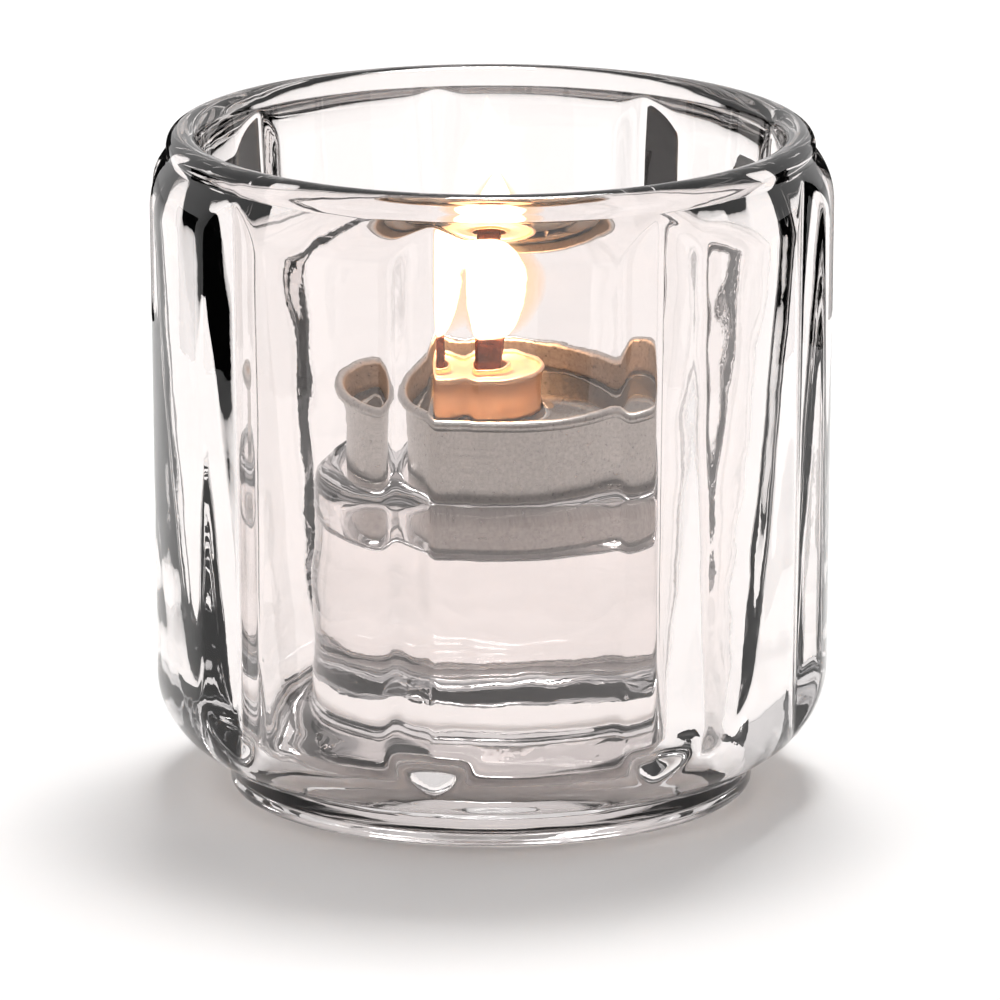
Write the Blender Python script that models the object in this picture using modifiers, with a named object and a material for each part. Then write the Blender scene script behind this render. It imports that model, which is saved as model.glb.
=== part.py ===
"""A tealight holder of thick pressed glass, and the tealight that stands in it.

The turning axis is Z, up is +Z, and the foot stands on Z = 0.  Lengths are metres.
"""

import math

import bmesh
import bpy
from mathutils import Matrix, Vector

# Glass body, outside
HEIGHT = 0.0858
SHOULDER_RADIUS = 0.0438  # the widest place, at the foot of the shoulder
SHOULDER_Z = 0.0766
SHOULDER_CURVE = 0.0092
CORNER_TOP_RADIUS = 0.0433  # the mould's draft makes the wall a little narrower lower down
CORNER_RADIUS = 0.012  # rounding of the lower corner
CORNER_TOP_Z = 0.0162
RIM_NOSE_RADIUS = 0.0021
RIM_INNER_RADIUS = 0.0372
FOOT_RADIUS = 0.0336
FOOT_EDGE_ROUND = 0.0010
FOOT_RING_INNER_RADIUS = 0.0292
FOOT_HOLLOW_RADIUS = 0.0278
FOOT_HOLLOW_DEPTH = 0.0012

# Grooves down the outside
GROOVE_COUNT = 9
FIRST_GROOVE_ANGLE = math.radians(180.0)
GROOVE_VALLEY_RADIUS = 0.0415  # at mid height
GROOVE_FACET_SLOPE = math.radians(16.5)  # a facet's angle to the wall
GROOVE_CUTTER_HALF_WIDTH = 0.0110
GROOVE_LEAN = math.radians(0.6)  # the valley runs in a little towards the foot

# Glass body, inside: a round pedestal with a shallow seat stands in the middle of a wide bore
SEAT_FLOOR_Z = 0.0342
SEAT_RADIUS = 0.0196
SEAT_CURVE = 0.0008
LIP_Z = 0.0417
LIP_INNER_CURVE = 0.0005
LIP_OUTER_CURVE = 0.0027
PEDESTAL_RADIUS = 0.0228
PEDESTAL_FOOT_RADIUS = 0.0235
MOAT_FLOOR_Z = 0.0096
MOAT_CURVE = 0.0034
BORE_TAPER = math.radians(5.0)

# Tealight
TOUCHING_GAP = 0.0003  # between pieces that rest on each other
CUP_BASE_Z = SEAT_FLOOR_Z + TOUCHING_GAP
CUP_BASE_RADIUS = 0.0185
CUP_TOP_RADIUS = 0.0191
CUP_WALL = 0.0003
CUP_BASE_ROUND = 0.0012
CUP_TOP_Z = 0.0520
CUP_BEAD_RADIUS = 0.0007
PLATE_WIDTH = 0.0200
PLATE_THICKNESS = 0.0004
PLATE_CORNER_ROUND = 0.0012
PLATE_TURN = math.radians(38.0)
DRUM_RADIUS = 0.0067
DRUM_WALL = 0.0004
DRUM_DISC_Z = 0.0530
DRUM_BEAD_RADIUS = 0.0004
NECK_HEIGHT = 0.0010
WICK_WIDTH = 0.0041
WICK_DEPTH = 0.0029
WICK_BOTTOM_Z = 0.0365
WICK_TOP_Z = 0.0582
WICK_ROUND = 0.0007
WAX_TOP_Z = 0.0485

STEPS = 54  # sides of the glass: a multiple of the number of grooves
CUP_STEPS = 48
DRUM_STEPS = 32
MERGE = 0.00001


def clear_scene():
    for item in list(bpy.data.objects):
        bpy.data.objects.remove(item)


def new_collection(name):
    collection = bpy.data.collections.new(name)
    bpy.context.scene.collection.children.link(collection)
    return collection


def new_material(name, colour, roughness, metallic, transmission=0.0):
    material = bpy.data.materials.new(name)
    material.use_nodes = True
    shader = material.node_tree.nodes["Principled BSDF"]
    shader.inputs["Base Color"].default_value = (*colour, 1.0)
    shader.inputs["Roughness"].default_value = roughness
    shader.inputs["Metallic"].default_value = metallic
    shader.inputs["Transmission Weight"].default_value = transmission
    return material


def arc(centre, radius, start, end, segments):
    """Points on an arc in the (r, z) plane, from one angle to another in degrees."""
    points = []
    for i in range(segments + 1):
        angle = math.radians(start + (end - start) * i / segments)
        points.append((centre[0] + radius * math.cos(angle), centre[1] + radius * math.sin(angle)))
    return points


def rounded(before, corner, after, radius, segments):
    """The corner of a line in the (r, z) plane, replaced by an arc that touches both sides."""
    back = Vector(before) - Vector(corner)
    ahead = Vector(after) - Vector(corner)
    half = back.angle(ahead) / 2.0
    back.normalize()
    ahead.normalize()
    centre = Vector(corner) + (back + ahead).normalized() * radius / math.sin(half)
    first = Vector(corner) + back * radius / math.tan(half) - centre
    last = Vector(corner) + ahead * radius / math.tan(half) - centre
    start = math.degrees(math.atan2(first.y, first.x))
    turn = math.degrees(first.angle_signed(last))
    return arc(centre, radius, start, start - turn, segments)


def add_object(name, mesh, collection, material=None):
    item = bpy.data.objects.new(name, mesh)
    collection.objects.link(item)
    if material:
        mesh.materials.append(material)
    return item


def turned(name, profile, steps, collection, material=None):
    """A profile that starts and ends on the axis, or closes on itself, swept round Z.

    It runs up the inner side, over the top and down the outer side.
    """
    mesh = bpy.data.meshes.new(name)
    edges = [(i, i + 1) for i in range(len(profile) - 1)]
    mesh.from_pydata([(r, 0.0, z) for r, z in profile], edges, [])
    item = add_object(name, mesh, collection, material)
    screw = item.modifiers.new("turn", "SCREW")
    screw.axis = "Z"
    screw.steps = steps
    screw.render_steps = steps
    screw.use_merge_vertices = True
    screw.merge_threshold = MERGE
    screw.use_smooth_shade = True
    return item


def cut(item, cutter):
    boolean = item.modifiers.new("cut", "BOOLEAN")
    boolean.operation = "DIFFERENCE"
    boolean.solver = "EXACT"
    boolean.object = cutter


def join(item, other):
    boolean = item.modifiers.new("join", "BOOLEAN")
    boolean.operation = "UNION"
    boolean.solver = "EXACT"
    boolean.object = other


def hide_helper(item):
    item.hide_render = True
    item.display_type = "WIRE"


def glass_profile():
    """From the middle of the seat, over the rim, to the middle of the underside."""
    rim = (RIM_INNER_RADIUS + RIM_NOSE_RADIUS, HEIGHT - RIM_NOSE_RADIUS)
    mouth = (RIM_INNER_RADIUS, rim[1])
    bore_depth = rim[1] - MOAT_FLOOR_Z
    bore_corner = (RIM_INNER_RADIUS - bore_depth * math.tan(BORE_TAPER), MOAT_FLOOR_Z)
    middle = (0.0, SEAT_FLOOR_Z)
    seat = (SEAT_RADIUS, SEAT_FLOOR_Z)
    lip_inner = (SEAT_RADIUS, LIP_Z)
    lip_outer = (PEDESTAL_RADIUS, LIP_Z)
    pedestal_foot = (PEDESTAL_FOOT_RADIUS, MOAT_FLOOR_Z)
    shoulder = (SHOULDER_RADIUS - SHOULDER_CURVE, SHOULDER_Z)
    rim_outer = rim[0] + RIM_NOSE_RADIUS
    shoulder_top = math.degrees(math.acos((rim_outer - shoulder[0]) / SHOULDER_CURVE))
    corner = (CORNER_TOP_RADIUS - CORNER_RADIUS, CORNER_TOP_Z)
    foot_reach = math.degrees(math.acos((FOOT_RADIUS - corner[0]) / CORNER_RADIUS))
    foot_edge = (FOOT_RADIUS - FOOT_EDGE_ROUND, FOOT_EDGE_ROUND)

    profile = [middle]
    profile += rounded(middle, seat, lip_inner, SEAT_CURVE, 2)
    profile += rounded(seat, lip_inner, lip_outer, LIP_INNER_CURVE, 2)
    profile += rounded(lip_inner, lip_outer, pedestal_foot, LIP_OUTER_CURVE, 4)
    profile += rounded(lip_outer, pedestal_foot, bore_corner, MOAT_CURVE, 4)
    profile += rounded(pedestal_foot, bore_corner, mouth, MOAT_CURVE, 4)
    profile += arc(rim, RIM_NOSE_RADIUS, 180, 0, 8)
    profile += arc(shoulder, SHOULDER_CURVE, shoulder_top, 0, 4)
    profile += arc(corner, CORNER_RADIUS, 0, -foot_reach, 7)
    profile += arc(foot_edge, FOOT_EDGE_ROUND, 0, -90, 2)
    profile += [(FOOT_RING_INNER_RADIUS, 0.0), (FOOT_HOLLOW_RADIUS, FOOT_HOLLOW_DEPTH)]
    profile += [(0.0, FOOT_HOLLOW_DEPTH)]
    return profile


def groove_cutters(collection):
    """One long four-sided bar for each groove: its inner edge is the groove's valley."""
    half_depth = GROOVE_CUTTER_HALF_WIDTH * math.tan(GROOVE_FACET_SLOPE)
    mesh = bpy.data.meshes.new("groove_cutters")
    bars = bmesh.new()
    for i in range(GROOVE_COUNT):
        angle = FIRST_GROOVE_ANGLE + i * 2.0 * math.pi / GROOVE_COUNT
        turn = Matrix.Rotation(angle, 4, "Z")
        place = Matrix.Translation((GROOVE_VALLEY_RADIUS + half_depth, 0.0, HEIGHT / 2.0))
        lean = Matrix.Rotation(GROOVE_LEAN, 4, "Y")
        size = Matrix.Diagonal((half_depth, GROOVE_CUTTER_HALF_WIDTH, 1.0, 1.0))
        bmesh.ops.create_cone(
            bars,
            cap_ends=True,
            segments=4,
            radius1=1.0,
            radius2=1.0,
            depth=HEIGHT * 1.2,
            matrix=turn @ place @ lean @ size,
        )
    bars.to_mesh(mesh)
    bars.free()
    cutter = add_object("groove_cutters", mesh, collection)
    hide_helper(cutter)
    return cutter


def make_glass(parts, cutters):
    material = new_material("pressed_glass", (0.95, 0.95, 0.95), 0.02, 0.0, 1.0)
    glass = turned("glass_holder", glass_profile(), STEPS, parts, material)
    cut(glass, groove_cutters(cutters))
    return glass


def make_cup(parts):
    """The drawn cup, with a bead rolled round its rim."""
    bead = (CUP_TOP_RADIUS + CUP_BEAD_RADIUS - CUP_WALL, CUP_TOP_Z - CUP_BEAD_RADIUS)
    base_corner = (CUP_BASE_RADIUS - CUP_BASE_ROUND, CUP_BASE_Z + CUP_BASE_ROUND)

    profile = [(0.0, CUP_BASE_Z + CUP_WALL)]
    profile += arc(base_corner, CUP_BASE_ROUND - CUP_WALL, -90, 0, 3)
    profile += arc(bead, CUP_BEAD_RADIUS, 180, -60, 8)
    profile += [(CUP_TOP_RADIUS, bead[1] - CUP_BEAD_RADIUS)]
    profile += arc(base_corner, CUP_BASE_ROUND, 0, -90, 3)
    profile += [(0.0, CUP_BASE_Z)]
    material = new_material("drawn_aluminium", (0.72, 0.71, 0.69), 0.38, 1.0)
    return turned("tealight_cup", profile, CUP_STEPS, parts, material)


def make_wick_holder(parts, cutters):
    """A square base plate and a hollow drum, pressed from one sheet, open underneath."""
    plate_z = CUP_BASE_Z + CUP_WALL + TOUCHING_GAP
    plate_top = plate_z + PLATE_THICKNESS
    neck_inner = math.hypot(WICK_WIDTH, WICK_DEPTH) / 2.0
    neck_outer = neck_inner + DRUM_WALL
    bead = (DRUM_RADIUS, DRUM_DISC_Z + DRUM_BEAD_RADIUS)
    inner_radius = DRUM_RADIUS - DRUM_WALL

    drum_profile = [
        (inner_radius, plate_z),
        (inner_radius, DRUM_DISC_Z - DRUM_WALL),
        (neck_inner, DRUM_DISC_Z - DRUM_WALL),
        (neck_inner, DRUM_DISC_Z + NECK_HEIGHT),
        (neck_outer, DRUM_DISC_Z + NECK_HEIGHT),
        (neck_outer, DRUM_DISC_Z),
        (inner_radius, DRUM_DISC_Z),
    ]
    drum_profile += arc(bead, DRUM_BEAD_RADIUS, 180, -60, 5)
    drum_profile += [(DRUM_RADIUS, plate_top), (DRUM_RADIUS, plate_z), (inner_radius, plate_z)]
    material = new_material("tin_plate", (0.70, 0.62, 0.55), 0.35, 1.0)
    drum = turned("drum_blank", drum_profile, DRUM_STEPS, cutters)
    hide_helper(drum)

    bpy.ops.mesh.primitive_cube_add(size=1.0)
    holder = bpy.context.object
    holder.name = "wick_holder"
    for linked in list(holder.users_collection):
        linked.objects.unlink(holder)
    parts.objects.link(holder)
    holder.data.transform(Matrix.Diagonal((PLATE_WIDTH, PLATE_WIDTH, PLATE_THICKNESS, 1.0)))
    holder.location = (0.0, 0.0, plate_z + PLATE_THICKNESS / 2.0)
    holder.rotation_euler = (0.0, 0.0, PLATE_TURN)
    holder.data.materials.append(material)

    round_corners = holder.modifiers.new("corners", "BEVEL")
    round_corners.width = PLATE_CORNER_ROUND
    round_corners.segments = 3
    round_corners.limit_method = "WEIGHT"
    weights = holder.data.attributes.new("bevel_weight_edge", "FLOAT", "EDGE")
    for edge in holder.data.edges:
        a, b = (holder.data.vertices[i].co for i in edge.vertices)
        upright = abs(a.z - b.z) > PLATE_THICKNESS / 2.0
        weights.data[edge.index].value = 1.0 if upright else 0.0

    hole_mesh = bpy.data.meshes.new("plate_hole")
    hole = bmesh.new()
    middle_radius = DRUM_RADIUS - DRUM_WALL / 2.0
    bmesh.ops.create_cone(
        hole,
        cap_ends=True,
        segments=DRUM_STEPS,
        radius1=middle_radius,
        radius2=middle_radius,
        depth=PLATE_THICKNESS * 4.0,
    )
    hole.to_mesh(hole_mesh)
    hole.free()
    plate_hole = add_object("plate_hole", hole_mesh, cutters)
    plate_hole.location = (0.0, 0.0, plate_z)
    hide_helper(plate_hole)
    cut(holder, plate_hole)
    join(holder, drum)
    return holder


def make_wick(parts):
    """A flat braided wick, upright in the neck of its holder."""
    length = WICK_TOP_Z - WICK_BOTTOM_Z
    bpy.ops.mesh.primitive_cube_add(size=1.0)
    wick = bpy.context.object
    wick.name = "wick"
    for linked in list(wick.users_collection):
        linked.objects.unlink(wick)
    parts.objects.link(wick)
    inset = 2.0 * TOUCHING_GAP
    wick.data.transform(Matrix.Diagonal((WICK_WIDTH - inset, WICK_DEPTH - inset, length, 1.0)))
    wick.location = (0.0, 0.0, (WICK_TOP_Z + WICK_BOTTOM_Z) / 2.0)
    wick.data.materials.append(new_material("charred_cotton", (0.05, 0.03, 0.025), 0.9, 0.0))
    rounding = wick.modifiers.new("round", "BEVEL")
    rounding.width = WICK_ROUND
    rounding.segments = 2
    return wick


def make_wax(parts):
    """The ring of wax round the drum, a gap's width clear of the metal."""
    bottom = CUP_BASE_Z + CUP_WALL + PLATE_THICKNESS + 2.0 * TOUCHING_GAP
    inner = DRUM_RADIUS + TOUCHING_GAP
    low_outer = CUP_BASE_RADIUS - CUP_WALL - TOUCHING_GAP
    top_outer = CUP_TOP_RADIUS - CUP_WALL - 2.0 * TOUCHING_GAP
    profile = [
        (inner, bottom),
        (inner, WAX_TOP_Z),
        (top_outer, WAX_TOP_Z),
        (low_outer, bottom),
        (inner, bottom),
    ]
    material = new_material("melted_wax", (0.93, 0.90, 0.84), 0.08, 0.0, 0.9)
    return turned("wax", profile, CUP_STEPS, parts, material)


def main():
    clear_scene()
    parts = new_collection("tealight_holder")
    cutters = new_collection("cutters")
    cutters.hide_render = True

    make_glass(parts, cutters)

    # The tealight lifts straight out along the axis.
    tealight = bpy.data.objects.new("tealight_axis", None)
    parts.objects.link(tealight)
    pieces = [make_cup(parts), make_wick_holder(parts, cutters), make_wick(parts), make_wax(parts)]
    for piece in pieces:
        piece.parent = tealight


main()
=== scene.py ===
import math

import bpy
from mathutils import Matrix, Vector, noise


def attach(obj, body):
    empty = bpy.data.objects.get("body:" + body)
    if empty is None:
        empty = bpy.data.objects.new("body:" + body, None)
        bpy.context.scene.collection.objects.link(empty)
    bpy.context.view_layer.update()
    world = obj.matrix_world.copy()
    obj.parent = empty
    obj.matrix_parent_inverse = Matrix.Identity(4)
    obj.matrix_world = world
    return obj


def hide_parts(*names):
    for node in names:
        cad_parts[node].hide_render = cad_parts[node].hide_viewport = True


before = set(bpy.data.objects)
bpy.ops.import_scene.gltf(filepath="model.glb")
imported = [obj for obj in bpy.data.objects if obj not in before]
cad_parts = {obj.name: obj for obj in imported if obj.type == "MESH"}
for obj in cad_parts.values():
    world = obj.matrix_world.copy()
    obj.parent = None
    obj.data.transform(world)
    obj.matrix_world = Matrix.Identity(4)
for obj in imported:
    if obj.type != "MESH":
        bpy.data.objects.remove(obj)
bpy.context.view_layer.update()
mm = 0.001
mergeDistance = 0.000002


# Helpers for modelling

def startFresh():
    if bpy.context.object and bpy.context.object.mode != "OBJECT":
        bpy.ops.object.mode_set(mode="OBJECT")
    bpy.ops.object.select_all(action="DESELECT")


def nameActive(name):
    piece = bpy.context.object
    piece.name = name
    piece.data.name = name
    return piece


def applyModifiers(piece):
    startFresh()
    piece.select_set(True)
    bpy.context.view_layer.objects.active = piece
    for modifier in list(piece.modifiers):
        bpy.ops.object.modifier_apply(modifier=modifier.name)


def finishMesh(piece, smoothAngle):
    # merges doubles, turns the faces outwards and puts the piece's place in its mesh
    startFresh()
    piece.select_set(True)
    bpy.context.view_layer.objects.active = piece
    bpy.ops.object.transform_apply(location=True, rotation=True, scale=True)
    bpy.ops.object.mode_set(mode="EDIT")
    bpy.ops.mesh.select_all(action="SELECT")
    bpy.ops.mesh.remove_doubles(threshold=mergeDistance)
    bpy.ops.mesh.normals_make_consistent(inside=False)
    bpy.ops.object.mode_set(mode="OBJECT")
    bpy.ops.object.shade_smooth_by_angle(angle=math.radians(smoothAngle))
    piece.select_set(False)


def arcPoints(centreR, centreZ, radius, startDegrees, endDegrees, count):
    points = []
    for i in range(count + 1):
        angle = math.radians(startDegrees + (endDegrees - startDegrees) * i / count)
        points.append((centreR + radius * math.cos(angle), centreZ + radius * math.sin(angle)))
    return points


def linePoints(start, end, count):
    return [
        (start[0] + (end[0] - start[0]) * i / count, start[1] + (end[1] - start[1]) * i / count)
        for i in range(1, count)
    ]


def roundedCorner(before, corner, after, radius, count):
    # an arc that touches both sides of a corner of an outline
    back = Vector(before) - Vector(corner)
    ahead = Vector(after) - Vector(corner)
    half = back.angle(ahead) / 2
    back.normalize()
    ahead.normalize()
    centre = Vector(corner) + (back + ahead).normalized() * radius / math.sin(half)
    first = Vector(corner) + back * radius / math.tan(half) - centre
    last = Vector(corner) + ahead * radius / math.tan(half) - centre
    start = math.degrees(math.atan2(first.y, first.x))
    turn = math.degrees(first.angle_signed(last))
    return arcPoints(centre.x, centre.y, radius, start, start - turn, count)


def spinOutline(name, outline, steps, closed=False):
    # one corner is extruded point by point along the outline, then spun round the axis
    startFresh()
    bpy.ops.mesh.primitive_plane_add(size=0.001, location=(0, 0, 0))
    piece = nameActive(name)
    bpy.ops.object.mode_set(mode="EDIT")
    # single corners can only be selected and extruded in vertex mode
    bpy.ops.mesh.select_mode(type="VERT")
    bpy.ops.mesh.select_all(action="SELECT")
    bpy.ops.mesh.merge(type="CENTER")
    bpy.ops.transform.translate(value=(outline[0][0], 0, outline[0][1]))
    points = outline[1:] + ([outline[0]] if closed else [])
    last = outline[0]
    for point in points:
        step = (point[0] - last[0], 0, point[1] - last[1])
        bpy.ops.mesh.extrude_region_move(TRANSFORM_OT_translate={"value": step})
        last = point
    bpy.ops.mesh.select_all(action="SELECT")
    bpy.ops.mesh.spin(steps=steps, angle=2 * math.pi, center=(0, 0, 0), axis=(0, 0, 1))
    bpy.ops.mesh.select_all(action="SELECT")
    bpy.ops.mesh.remove_doubles(threshold=mergeDistance)
    bpy.ops.mesh.select_all(action="DESELECT")
    bpy.ops.object.mode_set(mode="OBJECT")
    return piece


def handOver(piece, body, material, cadNode=None):
    if not piece.data.polygons:
        raise RuntimeError(piece.name + " has no faces")
    piece.data.materials.clear()
    piece.data.materials.append(material)
    if cadNode:
        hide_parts(cadNode)
    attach(piece, body)


# Helpers for materials

def linearColour(hexColour):
    channels = [int(hexColour[i : i + 2], 16) / 255 for i in (1, 3, 5)]
    return [c / 12.92 if c <= 0.04045 else ((c + 0.055) / 1.055) ** 2.4 for c in channels] + [1]


def addNode(material, kind, settings=None, values=None, links=None):
    # settings are the node's own, values go on its sockets, links are socket: (node, socket)
    node = material.node_tree.nodes.new(kind)
    for key, value in (settings or {}).items():
        setattr(node, key, value)
    for key, value in (values or {}).items():
        node.inputs[key].default_value = value
    for key, source in (links or {}).items():
        material.node_tree.links.new(source[0].outputs[source[1]], node.inputs[key])
    return node


def addRamp(material, source, stops):
    # stops are (position, linear colour) pairs, lowest first
    ramp = addNode(material, "ShaderNodeValToRGB", links={"Fac": source})
    elements = ramp.color_ramp.elements
    for element, (position, colour) in zip((elements[0], elements[1]), (stops[0], stops[-1])):
        element.position = position
        element.color = colour
    for position, colour in stops[1:-1]:
        elements.new(position).color = colour
    return ramp


def newMaterial(name):
    material = bpy.data.materials.new(name)
    material.use_nodes = True
    material.node_tree.nodes.clear()
    return material


def closeMaterial(material, shader):
    addNode(material, "ShaderNodeOutputMaterial", links={"Surface": (shader, 0)})


# Glass holder

glassShape = {
    "height": 85.8 * mm,
    "shoulderRadius": 43.78 * mm,
    "shoulderHeight": 76.6 * mm,
    "shoulderCurve": 9.2 * mm,
    "lowerWallRadius": 43.28 * mm,
    "lowerCornerCurve": 12.0 * mm,
    "lowerCornerHeight": 16.2 * mm,
    "rimNose": 2.1 * mm,
    "mouthRadius": 37.2 * mm,
    "footRadius": 33.6 * mm,
    "footEdge": 1.0 * mm,
    "footRingRadius": 29.2 * mm,
    "hollowRadius": 27.8 * mm,
    "hollowDepth": 1.2 * mm,
    "seatFloor": 34.2 * mm,
    "seatRadius": 19.6 * mm,
    "seatCurve": 0.8 * mm,
    "lip": 41.7 * mm,
    "lipInnerCurve": 0.6 * mm,
    "lipOuterCurve": 2.6 * mm,
    "pedestalRadius": 22.8 * mm,
    "pedestalFootRadius": 23.5 * mm,
    "moatFloor": 9.6 * mm,
    "moatCurve": 3.4 * mm,
    "boreTaper": 5.0,  # degrees
    "grooves": 9,
    "firstGroove": 180,  # degrees
    "valleyRadius": 41.5 * mm,
    "valleyLean": 0.6,  # degrees
    "facetSlope": 16.5,  # degrees
    "edgeSoftness": 0.30 * mm,  # fire polish rounds the grooves' edges
    "valleySoftness": 0.12 * mm,
    "waviness": 0.055 * mm,  # the plunger leaves the inside a little uneven
    "steps": 432,
}


def glassOutline(shape):
    rimR = shape["mouthRadius"] + shape["rimNose"]
    rimZ = shape["height"] - shape["rimNose"]
    mouth = (shape["mouthRadius"], rimZ)
    middle = (0, shape["seatFloor"])
    seat = (shape["seatRadius"], shape["seatFloor"])
    lipInner = (shape["seatRadius"], shape["lip"])
    lipOuter = (shape["pedestalRadius"], shape["lip"])
    pedestalFoot = (shape["pedestalFootRadius"], shape["moatFloor"])
    narrowing = (rimZ - shape["moatFloor"]) * math.tan(math.radians(shape["boreTaper"]))
    boreCorner = (mouth[0] - narrowing, shape["moatFloor"])
    seatArc = roundedCorner(middle, seat, lipInner, shape["seatCurve"], 6)
    lipInnerArc = roundedCorner(seat, lipInner, lipOuter, shape["lipInnerCurve"], 8)
    lipOuterArc = roundedCorner(lipInner, lipOuter, pedestalFoot, shape["lipOuterCurve"], 14)
    pedestalArc = roundedCorner(lipOuter, pedestalFoot, boreCorner, shape["moatCurve"], 12)
    boreArc = roundedCorner(pedestalFoot, boreCorner, mouth, shape["moatCurve"], 12)
    shoulderR = shape["shoulderRadius"] - shape["shoulderCurve"]
    shoulderZ = shape["shoulderHeight"]
    reach = math.degrees(math.acos((rimR + shape["rimNose"] - shoulderR) / shape["shoulderCurve"]))
    shoulderArc = arcPoints(shoulderR, shoulderZ, shape["shoulderCurve"], reach, 0, 26)
    cornerR = shape["lowerWallRadius"] - shape["lowerCornerCurve"]
    cornerZ = shape["lowerCornerHeight"]
    cornerReach = math.degrees(math.acos((shape["footRadius"] - cornerR) / shape["lowerCornerCurve"]))
    cornerArc = arcPoints(cornerR, cornerZ, shape["lowerCornerCurve"], 0, -cornerReach, 34)
    edgeR = shape["footRadius"] - shape["footEdge"]
    edgeArc = arcPoints(edgeR, shape["footEdge"], shape["footEdge"], 0, -90, 6)

    outline = [middle] + linePoints(middle, seatArc[0], 8) + seatArc
    outline += linePoints(seatArc[-1], lipInnerArc[0], 4) + lipInnerArc + lipOuterArc
    outline += linePoints(lipOuterArc[-1], pedestalArc[0], 16) + pedestalArc + boreArc
    outline += linePoints(boreArc[-1], mouth, 40)
    outline += arcPoints(rimR, rimZ, shape["rimNose"], 180, 0, 18) + shoulderArc
    outline += linePoints(shoulderArc[-1], cornerArc[0], 40) + cornerArc + edgeArc
    hollow = (shape["hollowRadius"], shape["hollowDepth"])
    outline += [(shape["footRingRadius"], 0)]
    outline += linePoints((shape["footRingRadius"], 0), hollow, 3) + [hollow]
    outline += linePoints(hollow, (0, hollow[1]), 3) + [(0, hollow[1])]
    return outline


def pressGrooves(piece, shape):
    # each groove is a shallow V with a crisp valley and fire-polished edges
    spacing = 2 * math.pi / shape["grooves"]
    first = math.radians(shape["firstGroove"])
    slope = math.tan(math.radians(shape["facetSlope"]))
    lean = math.tan(math.radians(shape["valleyLean"]))
    for vertex in piece.data.vertices:
        x, y, z = vertex.co
        radius = math.hypot(x, y)
        outside = radius > 39.6 * mm and z < shape["height"] - shape["rimNose"] * 0.4
        if not outside:
            continue
        around = (math.atan2(y, x) - first + spacing / 2) % spacing - spacing / 2
        valley = shape["valleyRadius"] + (z - shape["height"] / 2) * lean
        sideways = math.sqrt((radius * math.sin(around)) ** 2 + shape["valleySoftness"] ** 2)
        facet = (valley + sideways * slope) / math.cos(around)
        gap = radius - facet
        pressed = (radius + facet - math.sqrt(gap * gap + shape["edgeSoftness"] ** 2)) / 2
        pressed = min(pressed, radius)
        vertex.co.x = x * pressed / radius
        vertex.co.y = y * pressed / radius


def roughenInside(piece, shape):
    # long shallow waves in the bore, from the plunger that pressed it
    for vertex in piece.data.vertices:
        x, y, z = vertex.co
        radius = math.hypot(x, y)
        if z < shape["moatFloor"] - 0.1 * mm or radius > 37.5 * mm or radius < 3 * mm:
            continue
        wave = noise.noise(Vector((x * 120, y * 120, z * 160)))
        wave += 0.5 * noise.noise(Vector((x * 260 + 7, y * 260, z * 420)))
        amount = shape["waviness"] * wave * min(1, (radius - 3 * mm) / (8 * mm))
        vertex.co.x += x / radius * amount
        vertex.co.y += y / radius * amount


def makeGlass(shape):
    glass = spinOutline("pressedGlassHolder", glassOutline(shape), shape["steps"])
    pressGrooves(glass, shape)
    roughenInside(glass, shape)
    finishMesh(glass, 60)
    return glass


# Tealight cup, of thin drawn aluminium

cupShape = {
    "base": 34.5 * mm,
    "baseRadius": 18.5 * mm,
    "topRadius": 19.1 * mm,
    "wall": 0.3 * mm,
    "baseRound": 1.2 * mm,
    "top": 52.0 * mm,
    "bead": 0.7 * mm,
    "ringDepth": 0.175 * mm,  # the pressed ring round the base
    "ringOuter": 14.2 * mm,
    "ringInner": 12.6 * mm,
    "ringSlope": 0.4 * mm,
    "stiffRadius": 17.0 * mm,  # the flat base inside this keeps its shape
    "unevenness": 0.09 * mm,  # thin foil never stays quite round
    "steps": 288,
}


def makeCup(shape):
    base = shape["base"]
    cornerR = shape["baseRadius"] - shape["baseRound"]
    cornerZ = base + shape["baseRound"]
    beadR = shape["topRadius"] + shape["bead"] - shape["wall"]
    beadZ = shape["top"] - shape["bead"]
    wall = shape["wall"]
    inner = arcPoints(cornerR, cornerZ, shape["baseRound"] - wall, -90, 0, 8)
    bead = arcPoints(beadR, beadZ, shape["bead"], 180, -60, 22)
    outer = arcPoints(cornerR, cornerZ, shape["baseRound"], 0, -90, 10)
    low = (shape["topRadius"], beadZ - shape["bead"])
    outline = [(0, base + wall)] + linePoints((0, base + wall), inner[0], 6) + inner
    outline += linePoints(inner[-1], bead[0], 14) + bead + [low]
    outline += linePoints(low, outer[0], 14) + outer
    ringTop = base + shape["ringDepth"]
    outline += [(shape["ringOuter"], base), (shape["ringOuter"] - shape["ringSlope"], ringTop)]
    outline += [(shape["ringInner"] + shape["ringSlope"], ringTop), (shape["ringInner"], base)]
    outline += [(0, base)]
    cup = spinOutline("tealightCup", outline, shape["steps"])
    for vertex in cup.data.vertices:
        x, y, z = vertex.co
        radius = math.hypot(x, y)
        if radius > shape["stiffRadius"]:
            height = (z - base) / (shape["top"] - base)
            angle = math.atan2(y, x)
            swell = noise.noise(Vector((math.cos(angle) * 2.3, math.sin(angle) * 2.3, height * 1.5)))
            move = shape["unevenness"] * swell * (0.3 + 0.7 * height)
            vertex.co.x += x / radius * move
            vertex.co.y += y / radius * move
    finishMesh(cup, 40)
    return cup


# Wick holder: a square plate with a drum drawn up from it

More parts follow.
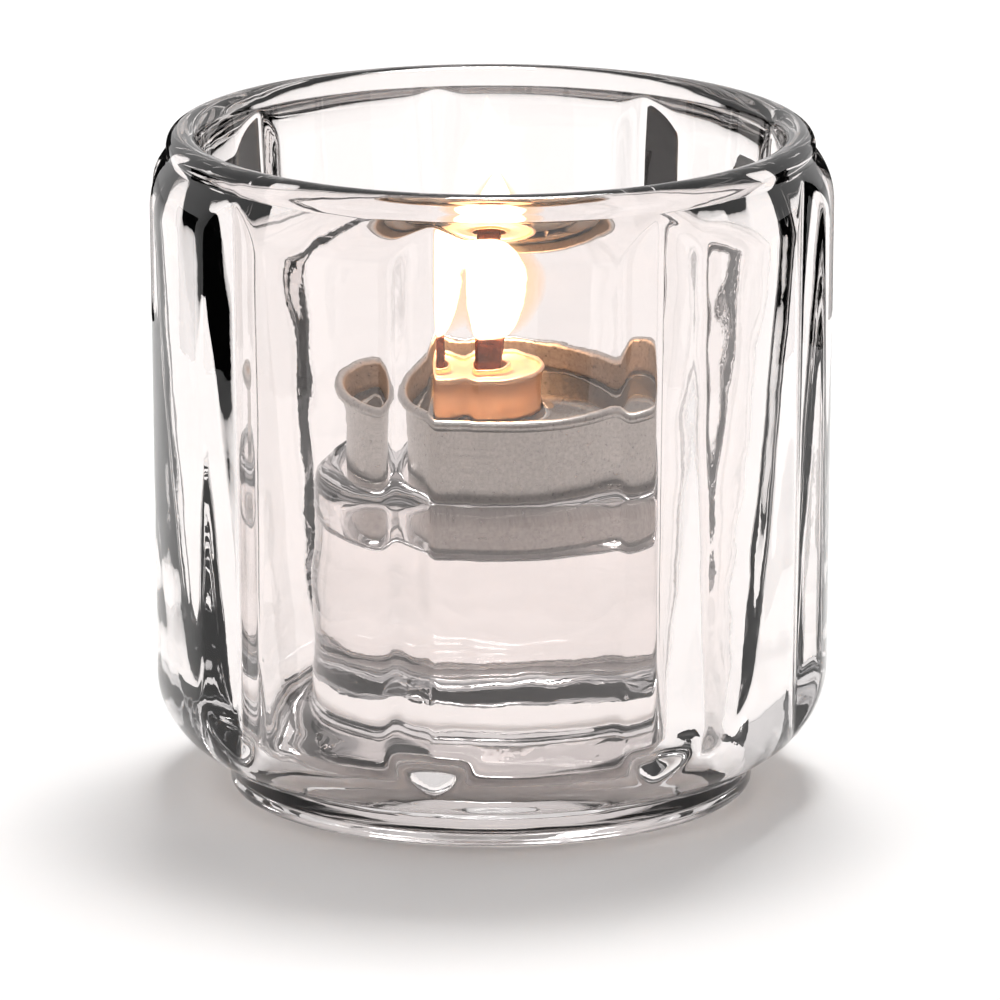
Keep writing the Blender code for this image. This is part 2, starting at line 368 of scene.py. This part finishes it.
holderShape = {
    "plateWidth": 20.0 * mm,
    "plateBottom": 35.1 * mm,
    "plateThickness": 0.4 * mm,
    "plateRound": 1.2 * mm,
    "plateTurn": 38,  # degrees
    "ridgeHeight": 0.35 * mm,
    "drumRadius": 6.7 * mm,
    "drumWall": 0.4 * mm,
    "disc": 53.0 * mm,
    "bead": 0.4 * mm,
    "neckRadius": 2.9 * mm,
    "neckHeight": 1.0 * mm,
    "neckEdge": 0.2 * mm,
    "neckFillet": 0.5 * mm,
    "steps": 160,
}


def makeWickHolder(shape):
    inner = shape["drumRadius"] - shape["drumWall"]
    bottom = shape["plateBottom"]
    disc = shape["disc"]
    neckIn = shape["neckRadius"] - shape["drumWall"]
    neckTop = disc + shape["neckHeight"]
    under = disc - shape["drumWall"]
    edge = shape["neckEdge"]
    fillet = shape["neckFillet"]
    outline = [(inner, bottom)] + linePoints((inner, bottom), (inner, under), 12)
    outline += [(inner, under), (neckIn, under), (neckIn, neckTop - edge / 2)]
    outline += arcPoints(shape["neckRadius"] - edge, neckTop - edge, edge, 135, 0, 5)
    outline += arcPoints(shape["neckRadius"] + fillet, disc + fillet, fillet, 180, 270, 5)
    outline += linePoints(outline[-1], (inner, disc), 4)
    outline += arcPoints(shape["drumRadius"], disc + shape["bead"], shape["bead"], 190, -60, 14)
    outline += linePoints((shape["drumRadius"], disc), (shape["drumRadius"], bottom), 16)
    outline += [(shape["drumRadius"], bottom)]
    drum = spinOutline("wickHolder", outline, shape["steps"], closed=True)
    finishMesh(drum, 35)

    startFresh()
    turn = math.radians(shape["plateTurn"])
    middleZ = bottom + shape["plateThickness"] / 2
    bpy.ops.mesh.primitive_cube_add(size=1, location=(0, 0, middleZ), rotation=(0, 0, turn))
    plate = nameActive("wickPlate")
    plate.scale = (shape["plateWidth"], shape["plateWidth"], shape["plateThickness"])
    bpy.ops.object.transform_apply(location=False, rotation=False, scale=True)
    bpy.ops.object.mode_set(mode="EDIT")
    bpy.ops.mesh.select_mode(type="EDGE")
    bpy.ops.mesh.select_all(action="DESELECT")
    bpy.ops.object.mode_set(mode="OBJECT")
    for edge in plate.data.edges:
        a, b = (plate.data.vertices[i].co for i in edge.vertices)
        edge.select = abs(a.z - b.z) > 0.1 * mm
    bpy.ops.object.mode_set(mode="EDIT")
    bpy.ops.mesh.bevel(offset=shape["plateRound"], segments=8, affect="EDGES")
    bpy.ops.mesh.select_mode(type="FACE")
    bpy.ops.mesh.select_all(action="DESELECT")
    bpy.ops.object.mode_set(mode="OBJECT")
    for face in plate.data.polygons:
        face.select = face.normal.z > 0.9
    bpy.ops.object.mode_set(mode="EDIT")
    # a raised ridge runs round just inside the plate's edge
    bpy.ops.mesh.inset(thickness=0.5 * mm)
    bpy.ops.mesh.inset(thickness=0.35 * mm)
    bpy.ops.mesh.extrude_region_move(TRANSFORM_OT_translate={"value": (0, 0, shape["ridgeHeight"])})
    bpy.ops.mesh.inset(thickness=0.45 * mm)
    bpy.ops.mesh.inset(thickness=0.35 * mm)
    bpy.ops.transform.translate(value=(0, 0, -shape["ridgeHeight"]))
    bpy.ops.object.mode_set(mode="OBJECT")
    soften = plate.modifiers.new("soften", "BEVEL")
    soften.width = 0.08 * mm
    soften.segments = 2
    soften.limit_method = "ANGLE"
    applyModifiers(plate)
    finishMesh(plate, 35)

    startFresh()
    plate.select_set(True)
    drum.select_set(True)
    bpy.context.view_layer.objects.active = drum
    bpy.ops.object.join()
    drum.select_set(False)
    return drum


# Wick: a flat braid, charred, with its tip alight

wickShape = {
    "width": 3.5 * mm,
    "depth": 2.4 * mm,
    "bottom": 36.5 * mm,
    "top": 58.2 * mm,
    "strands": 7,
    "strandDepth": 0.16 * mm,
    "braidPitch": 1.3 * mm,
    "fray": 0.10 * mm,
    "slices": (60, 13, 7),  # cuts along the height, the width and the depth
    "charredFrom": 54.2 * mm,  # above this the strands stand further apart
    "frayedTip": 1.2 * mm,
    "swellLimit": 0.12 * mm,
}


def makeWick(shape):
    startFresh()
    height = shape["top"] - shape["bottom"]
    middle = (shape["top"] + shape["bottom"]) / 2
    bpy.ops.mesh.primitive_cube_add(size=1, location=(0, 0, middle))
    wick = nameActive("wickBraid")
    wick.scale = (shape["width"], shape["depth"], height)
    bpy.ops.object.transform_apply(location=True, rotation=False, scale=True)
    bpy.ops.object.mode_set(mode="EDIT")
    bpy.ops.mesh.select_all(action="SELECT")
    bpy.ops.mesh.bevel(offset=0.5 * mm, segments=3, affect="EDGES")
    tall, wide, deep = shape["slices"]
    cuts = [((0, 0, shape["bottom"] + height * i / tall), (0, 0, 1)) for i in range(1, tall)]
    cuts += [(((i - wide // 2) * 0.25 * mm, 0, 0), (1, 0, 0)) for i in range(wide)]
    cuts += [((0, (i - deep // 2) * 0.27 * mm, 0), (0, 1, 0)) for i in range(deep)]
    for place, across in cuts:
        bpy.ops.mesh.select_all(action="SELECT")
        bpy.ops.mesh.bisect(plane_co=place, plane_no=across)
    bpy.ops.object.mode_set(mode="OBJECT")
    for vertex in wick.data.vertices:
        x, y, z = vertex.co
        around = math.atan2(y / shape["depth"], x / shape["width"])
        radius = max(math.hypot(x, y), 0.1 * mm)
        twist = around * shape["strands"] + 2 * math.pi * z / shape["braidPitch"]
        counter = around * shape["strands"] - 2 * math.pi * z / shape["braidPitch"]
        strand = 0.5 * (math.cos(twist) + math.cos(counter)) - 0.6
        rough = noise.noise(Vector((x * 2500, y * 2500, z * 1100))) * shape["fray"]
        push = shape["strandDepth"] * strand * 0.5 + rough
        spread = 1 if z < shape["charredFrom"] else 1.6
        move = min(push * spread, shape["swellLimit"])
        vertex.co.x += x / radius * move
        vertex.co.y += y / radius * move
        if z > shape["top"] - shape["frayedTip"]:
            vertex.co.z += noise.noise(Vector((x * 1800, y * 1800, 3))) * 0.4 * mm - 0.25 * mm
    finishMesh(wick, 50)
    return wick


# Wax, melted clear

waxShape = {
    "inner": 7.0 * mm,
    "bottom": 35.9 * mm,
    "top": 48.5 * mm,
    "lowOuter": 17.9 * mm,
    "topOuter": 18.3 * mm,
    "meniscus": 0.45 * mm,  # how far the liquid climbs the metal
    "meniscusStep": 0.25 * mm,
    "lowRound": 0.8 * mm,
    "steps": 192,
}


def makeWax(shape):
    low = shape["bottom"]
    top = shape["top"]
    rise = shape["meniscus"]
    step = shape["meniscusStep"]
    turn = shape["lowRound"]
    sag = [(step * i, top - rise * (1 - (1 - i / 6) ** 2)) for i in range(1, 7)]
    outline = [(shape["inner"], low), (shape["inner"], top)]
    outline += [(shape["inner"] + away, level) for away, level in sag]
    outline += [(shape["topOuter"] - away, level) for away, level in reversed(sag)]
    outline += [(shape["topOuter"], top), (shape["lowOuter"], low + turn)]
    outline += arcPoints(shape["lowOuter"] - turn, low + turn, turn, -15, -90, 5)
    wax = spinOutline("meltedWax", outline, shape["steps"], closed=True)
    finishMesh(wax, 40)
    return wax


# Flame

flameShape = {
    "bottom": 56.9 * mm,
    "top": 80.3 * mm,
    "widest": 5.0 * mm,
    "haloWidest": 7.5 * mm,
    "lean": 0.9 * mm,
    "flattening": 0.85,  # the flat wick makes it thinner from front to back
    "levels": 40,
    "steps": 64,
    "glowColour": "#ffbf85",
    "glowPower": 0.15,
    "glowHeight": 64 * mm,
    "glowRadius": 2 * mm,
}


def makeFlame(name, shape, widest):
    height = shape["top"] - shape["bottom"]
    outline = []
    for i in range(shape["levels"] + 1):
        t = i / shape["levels"]
        swell = 2.49 * t ** 0.5 * (1 - t) ** 0.9  # fullest a third of the way up
        outline.append((widest * swell, shape["bottom"] + height * t))
    flame = spinOutline(name, outline, shape["steps"])
    for vertex in flame.data.vertices:
        t = (vertex.co.z - shape["bottom"]) / height
        vertex.co.x += shape["lean"] * (t ** 2 - 0.1)
        vertex.co.y *= shape["flattening"]
    finishMesh(flame, 60)
    return flame


def addGlow(flame, shape):
    # the light that the flame throws on the cup, carried by the flame
    startFresh()
    bpy.ops.object.light_add(type="POINT", location=(0.3 * mm, 0, shape["glowHeight"]))
    glow = bpy.context.object
    glow.name = "flameGlow"
    glow.data.energy = shape["glowPower"]
    glow.data.color = linearColour(shape["glowColour"])[:3]
    glow.data.shadow_soft_size = shape["glowRadius"]
    glow.parent = flame


# Materials

def pressedGlassMaterial():
    # soda-lime glass, pressed and fire polished: clear, with a faint warm grey and soft ripples
    material = newMaterial("sodaLimeGlassPressed")
    coords = addNode(material, "ShaderNodeTexCoord")
    placed = addNode(
        material, "ShaderNodeMapping", values={"Scale": (1, 1, 0.45)}, links={"Vector": (coords, "Object")}
    )
    # slow ripples about 9 mm long, from the mould
    ripple = addNode(
        material, "ShaderNodeTexNoise",
        values={"Scale": 110, "Detail": 1.5, "Roughness": 0.4}, links={"Vector": (placed, 0)},
    )
    # fine chill marks about 1.5 mm across
    chill = addNode(
        material, "ShaderNodeTexNoise",
        values={"Scale": 650, "Detail": 2, "Roughness": 0.5}, links={"Vector": (coords, "Object")},
    )
    rippleBump = addNode(
        material, "ShaderNodeBump",
        values={"Strength": 0.3, "Distance": 0.0006}, links={"Height": (ripple, 0)},
    )
    chillBump = addNode(
        material, "ShaderNodeBump",
        values={"Strength": 0.04, "Distance": 0.0001},
        links={"Height": (chill, 0), "Normal": (rippleBump, 0)},
    )
    smear = addNode(
        material, "ShaderNodeMapRange",
        values={"From Min": 0.45, "From Max": 0.8, "To Min": 0.0, "To Max": 0.03},
        links={"Value": (chill, 0)},
    )
    shader = addNode(
        material, "ShaderNodeBsdfPrincipled",
        values={
            "Base Color": linearColour("#f7f3f2"), "Transmission Weight": 1.0, "IOR": 1.52,
        },
        links={"Normal": (chillBump, 0), "Roughness": (smear, 0)},
    )
    closeMaterial(material, shader)
    return material


def aluminiumMaterial():
    # drawn aluminium foil: satin grey with fine upright drawing lines
    material = newMaterial("aluminiumDrawn")
    coords = addNode(material, "ShaderNodeTexCoord")
    stretched = addNode(
        material, "ShaderNodeMapping", values={"Scale": (1, 1, 0.04)}, links={"Vector": (coords, "Object")}
    )
    # drawing lines 0.25 mm apart; the real ones are finer and would vanish
    lines = addNode(
        material, "ShaderNodeTexNoise",
        values={"Scale": 4000, "Detail": 3, "Roughness": 0.6}, links={"Vector": (stretched, 0)},
    )
    grain = addNode(
        material, "ShaderNodeTexNoise",
        values={"Scale": 2200, "Detail": 3, "Roughness": 0.6}, links={"Vector": (coords, "Object")},
    )
    tone = addRamp(
        material, (grain, 0), [(0.3, linearColour("#a39e9a")), (0.7, linearColour("#c0bbb7"))]
    )
    rough = addNode(
        material, "ShaderNodeMapRange",
        values={"To Min": 0.22, "To Max": 0.38}, links={"Value": (grain, 0)},
    )
    bump = addNode(
        material, "ShaderNodeBump",
        values={"Strength": 0.25, "Distance": 0.00005}, links={"Height": (lines, 0)},
    )
    shader = addNode(
        material, "ShaderNodeBsdfPrincipled",
        values={"Metallic": 1.0},
        links={"Base Color": (tone, 0), "Roughness": (rough, 0), "Normal": (bump, 0)},
    )
    closeMaterial(material, shader)
    return material


def tinPlateMaterial():
    # tin plate, pressed: grey low down, with the flame's warm light painted on as a straw-to-copper tint
    # near the wick
    material = newMaterial("tinPlatePressed")
    coords = addNode(material, "ShaderNodeTexCoord")
    split = addNode(material, "ShaderNodeSeparateXYZ", links={"Vector": (coords, "Object")})
    # painted flame light: from 40 mm to 54 mm up the colour warms towards the wick
    height = addNode(
        material, "ShaderNodeMapRange",
        values={"From Min": 0.040, "From Max": 0.054}, links={"Value": (split, "Z")},
    )
    mottle = addNode(
        material, "ShaderNodeTexNoise",
        values={"Scale": 700, "Detail": 4, "Roughness": 0.6}, links={"Vector": (coords, "Object")},
    )
    mottleAndFlameWarmth = addNode(
        material, "ShaderNodeMath", settings={"operation": "MULTIPLY_ADD"},
        values={1: 0.35}, links={0: (mottle, 0), 2: (height, 0)},
    )
    # grey tin at the low end, painted warm flame light at the copper end, with random mottle mixed in
    tone = addRamp(
        material, (mottleAndFlameWarmth, 0), [(0.2, linearColour("#cfc6be")), (1.0, linearColour("#e2c2a6"))]
    )
    rough = addNode(
        material, "ShaderNodeMapRange",
        values={"To Min": 0.25, "To Max": 0.42}, links={"Value": (mottle, 0)},
    )
    bump = addNode(
        material, "ShaderNodeBump",
        values={"Strength": 0.15, "Distance": 0.00006}, links={"Height": (mottle, 0)},
    )
    shader = addNode(
        material, "ShaderNodeBsdfPrincipled",
        values={"Metallic": 1.0},
        links={"Base Color": (tone, 0), "Roughness": (rough, 0), "Normal": (bump, 0)},
    )
    closeMaterial(material, shader)
    return material


def charredCottonMaterial():
    # braided cotton: waxed brown low down, charcoal above, glowing at the very tip
    material = newMaterial("cottonBraidCharred")
    coords = addNode(material, "ShaderNodeTexCoord")
    split = addNode(material, "ShaderNodeSeparateXYZ", links={"Vector": (coords, "Object")})
    fibres = addNode(
        material, "ShaderNodeTexNoise",
        values={"Scale": 2600, "Detail": 4, "Roughness": 0.7}, links={"Vector": (coords, "Object")},
    )
    height = addNode(
        material, "ShaderNodeMapRange",
        values={"From Min": 0.0535, "From Max": 0.0584}, links={"Value": (split, "Z")},
    )
    level = addNode(
        material, "ShaderNodeMath", settings={"operation": "MULTIPLY_ADD"},
        values={1: 0.28}, links={0: (fibres, 0), 2: (height, 0)},
    )
    tone = addRamp(
        material, (level, 0),
        [(0.12, linearColour("#8a4a24")), (0.4, linearColour("#2a1610")), (0.95, linearColour("#5a2a14"))],
    )
    ember = addRamp(
        material, (level, 0), [(0.93, linearColour("#000000")), (1.0, linearColour("#ff7a2a"))]
    )
    bump = addNode(
        material, "ShaderNodeBump",
        values={"Strength": 0.6, "Distance": 0.0002}, links={"Height": (fibres, 0)},
    )
    shader = addNode(
        material, "ShaderNodeBsdfPrincipled",
        values={"Roughness": 0.9, "Emission Strength": 1.0},
        links={"Base Color": (tone, 0), "Emission Color": (ember, 0), "Normal": (bump, 0)},
    )
    closeMaterial(material, shader)
    return material


def meltedWaxMaterial():
    # paraffin wax, melted: a clear still liquid, with a few specks of char in it
    material = newMaterial("paraffinMelted")
    coords = addNode(material, "ShaderNodeTexCoord")
    swirl = addNode(
        material, "ShaderNodeTexNoise",
        values={"Scale": 180, "Detail": 2, "Roughness": 0.5, "Distortion": 0.6},
        links={"Vector": (coords, "Object")},
    )
    bump = addNode(
        material, "ShaderNodeBump",
        values={"Strength": 0.08, "Distance": 0.0002}, links={"Height": (swirl, 0)},
    )
    specks = addNode(
        material, "ShaderNodeTexNoise",
        values={"Scale": 1500, "Detail": 1}, links={"Vector": (coords, "Object")},
    )
    tone = addRamp(
        material, (specks, 0), [(0.22, linearColour("#b98a60")), (0.30, linearColour("#fff6ea"))]
    )
    shader = addNode(
        material, "ShaderNodeBsdfPrincipled",
        values={"Roughness": 0.02, "IOR": 1.43, "Transmission Weight": 1.0},
        links={"Base Color": (tone, 0), "Normal": (bump, 0)},
    )
    closeMaterial(material, shader)
    return material


def flameMaterial(shape):
    # burning wax vapour: thin and orange round the wick and at its skin, white-hot in the middle
    material = newMaterial("waxVapourBurning")
    coords = addNode(material, "ShaderNodeTexCoord")
    split = addNode(material, "ShaderNodeSeparateXYZ", links={"Vector": (coords, "Object")})
    height = addNode(
        material, "ShaderNodeMapRange",
        values={"From Min": shape["bottom"], "From Max": shape["top"]}, links={"Value": (split, "Z")},
    )
    skin = addNode(material, "ShaderNodeLayerWeight", values={"Blend": 0.35})
    tone = addRamp(
        material, (skin, "Facing"), [(0.4, linearColour("#fff6e4")), (0.95, linearColour("#ffb468"))]
    )
    thin = addRamp(material, (height, 0), [(0.02, (0.4, 0.4, 0.4, 1)), (0.08, (1, 1, 1, 1))])
    shader = addNode(
        material, "ShaderNodeBsdfPrincipled",
        values={
            "Base Color": (0, 0, 0, 1), "Roughness": 1.0,
            "Specular IOR Level": 0.0, "Emission Strength": 4.0,
        },
        links={"Emission Color": (tone, 0), "Alpha": (thin, 0)},
    )
    closeMaterial(material, shader)
    return material


def paintedHaloMaterial():
    # painted glow round the flame, standing in for the halo of its light: it fades to nothing at its edge
    material = newMaterial("paintedHaloGlow")
    skin = addNode(material, "ShaderNodeLayerWeight", values={"Blend": 0.5})
    thin = addRamp(material, (skin, "Facing"), [(0.0, (0.5, 0.5, 0.5, 1)), (0.9, (0, 0, 0, 1))])
    thin.color_ramp.interpolation = "EASE"
    shader = addNode(
        material, "ShaderNodeBsdfPrincipled",
        values={
            "Base Color": (0, 0, 0, 1), "Roughness": 1.0, "Specular IOR Level": 0.0,
            "Emission Color": linearColour("#ffcb94"), "Emission Strength": 1.3,
        },
        links={"Alpha": (thin, 0)},
    )
    closeMaterial(material, shader)
    return material


# Stage, light and camera

stageSettings = {
    "floorColour": "#f4f3f2",
    "floorSize": 8,
    "skyColour": "#e8e7e7",
    "darkSide": "#9c9c9e",
    "flagColour": "#060607",
    "flags": 8,
    "flagDistance": 0.27,
    "flagSize": (0.082, 0.1),
    "keyPower": 9.5,
    "keyPlace": (0.08, 0.4, 1.15),
    "keySize": 0.36,
}


def studioFloor(settings):
    startFresh()
    bpy.ops.mesh.primitive_plane_add(size=settings["floorSize"], location=(0, 0, -0.0001))
    floor = nameActive("studioFloor")
    material = newMaterial("paperSweepMatt")  # matt white paper: no sheen of its own
    coords = addNode(material, "ShaderNodeTexCoord")
    tooth = addNode(
        material, "ShaderNodeTexNoise",
        values={"Scale": 900, "Detail": 2}, links={"Vector": (coords, "Object")},
    )
    bump = addNode(
        material, "ShaderNodeBump",
        values={"Strength": 0.05, "Distance": 0.0001}, links={"Height": (tooth, 0)},
    )
    shader = addNode(
        material, "ShaderNodeBsdfPrincipled",
        values={"Base Color": linearColour(settings["floorColour"]), "Roughness": 0.95},
        links={"Normal": (bump, 0)},
    )
    closeMaterial(material, shader)
    floor.data.materials.append(material)


def studioWorld(settings):
    # a white tent with a greyer front for the glass to mirror; plain white to the eye
    world = bpy.data.worlds.new("whiteTent")
    bpy.context.scene.world = world
    world.use_nodes = True
    world.node_tree.nodes.clear()
    coords = addNode(world, "ShaderNodeTexCoord")
    split = addNode(world, "ShaderNodeSeparateXYZ", links={"Vector": (coords, "Generated")})
    side = addNode(
        world, "ShaderNodeMapRange",
        values={"From Min": -0.42, "From Max": -0.12}, links={"Value": (split, "Y")},
    )
    tone = addRamp(
        world, (side, 0),
        [(0.0, linearColour(settings["darkSide"])), (1.0, linearColour(settings["skyColour"]))],
    )
    seen = addNode(world, "ShaderNodeLightPath")
    mixed = addNode(
        world, "ShaderNodeMix", settings={"data_type": "RGBA"},
        links={0: (seen, "Is Camera Ray"), 6: (tone, 0)},
    )
    mixed.inputs[7].default_value = (1, 1, 1, 1)
    back = addNode(world, "ShaderNodeBackground", links={"Color": (mixed, 2)})
    addNode(world, "ShaderNodeOutputWorld", links={"Surface": (back, 0)})


def darkFlags(settings):
    # black flags stand in a ring just out of sight, and draw the dark lines in the glass
    material = newMaterial("flagFeltWoven")  # black felt: swallows the light
    shader = addNode(
        material, "ShaderNodeBsdfPrincipled",
        values={"Base Color": linearColour(settings["flagColour"]), "Roughness": 1.0},
    )
    closeMaterial(material, shader)
    width, height = settings["flagSize"]
    for i in range(settings["flags"]):
        angle = 2 * math.pi * (i + 0.5) / settings["flags"]
        x = settings["flagDistance"] * math.cos(angle)
        y = settings["flagDistance"] * math.sin(angle)
        startFresh()
        bpy.ops.mesh.primitive_plane_add(
            size=1, location=(x, y, height / 2), rotation=(math.pi / 2, 0, angle + math.pi / 2)
        )
        flag = nameActive("flag" + str(i + 1))
        flag.scale = (width, height, 1)
        flag.data.materials.append(material)
        flag.visible_camera = False
        flag.visible_shadow = False
        flag.visible_diffuse = False


def studioLights(settings):
    startFresh()
    bpy.ops.object.light_add(type="AREA", location=settings["keyPlace"])
    key = bpy.context.object
    key.name = "keyLight"
    key.data.size = settings["keySize"]
    key.data.energy = settings["keyPower"]
    key.rotation_euler = (Vector((0, 0, 0.04)) - key.location).to_track_quat("-Z", "Y").to_euler()


cameraSettings = {
    "place": (0, -1.33482, 0.374628),
    "target": (0.001176, 0, 0.036924),
    "lens": 386.15,
}


def makeCamera(settings):
    startFresh()
    bpy.ops.object.camera_add(location=settings["place"])
    camera = bpy.context.object
    camera.name = "mainCamera"
    aim = Vector(settings["target"]) - Vector(settings["place"])
    camera.rotation_euler = aim.to_track_quat("-Z", "Y").to_euler()
    camera.data.sensor_width = 36
    camera.data.lens = settings["lens"]
    camera.data.clip_start = 0.01
    bpy.context.scene.camera = camera


print("modelling the glass")
handOver(makeGlass(glassShape), "holder", pressedGlassMaterial(), "glass_holder")
print("modelling the tealight")
handOver(makeCup(cupShape), "tealight", aluminiumMaterial(), "tealight_cup")
handOver(makeWickHolder(holderShape), "tealight", tinPlateMaterial(), "wick_holder")
handOver(makeWick(wickShape), "tealight", charredCottonMaterial(), "wick")
handOver(makeWax(waxShape), "tealight", meltedWaxMaterial(), "wax")
flame = makeFlame("candleFlame", flameShape, flameShape["widest"])
handOver(flame, "tealight", flameMaterial(flameShape), None)
# a wider shell round the flame that carries a painted glow, the flame's halo
halo = makeFlame("flamePaintedHalo", flameShape, flameShape["haloWidest"])
handOver(halo, "tealight", paintedHaloMaterial(), None)
for bright in (flame, halo):
    bright.visible_shadow = False
addGlow(flame, flameShape)
print("setting the stage")
studioFloor(stageSettings)
studioWorld(stageSettings)
studioLights(stageSettings)
darkFlags(stageSettings)
makeCamera(cameraSettings)
bpy.context.scene.view_settings.view_transform = "Standard"
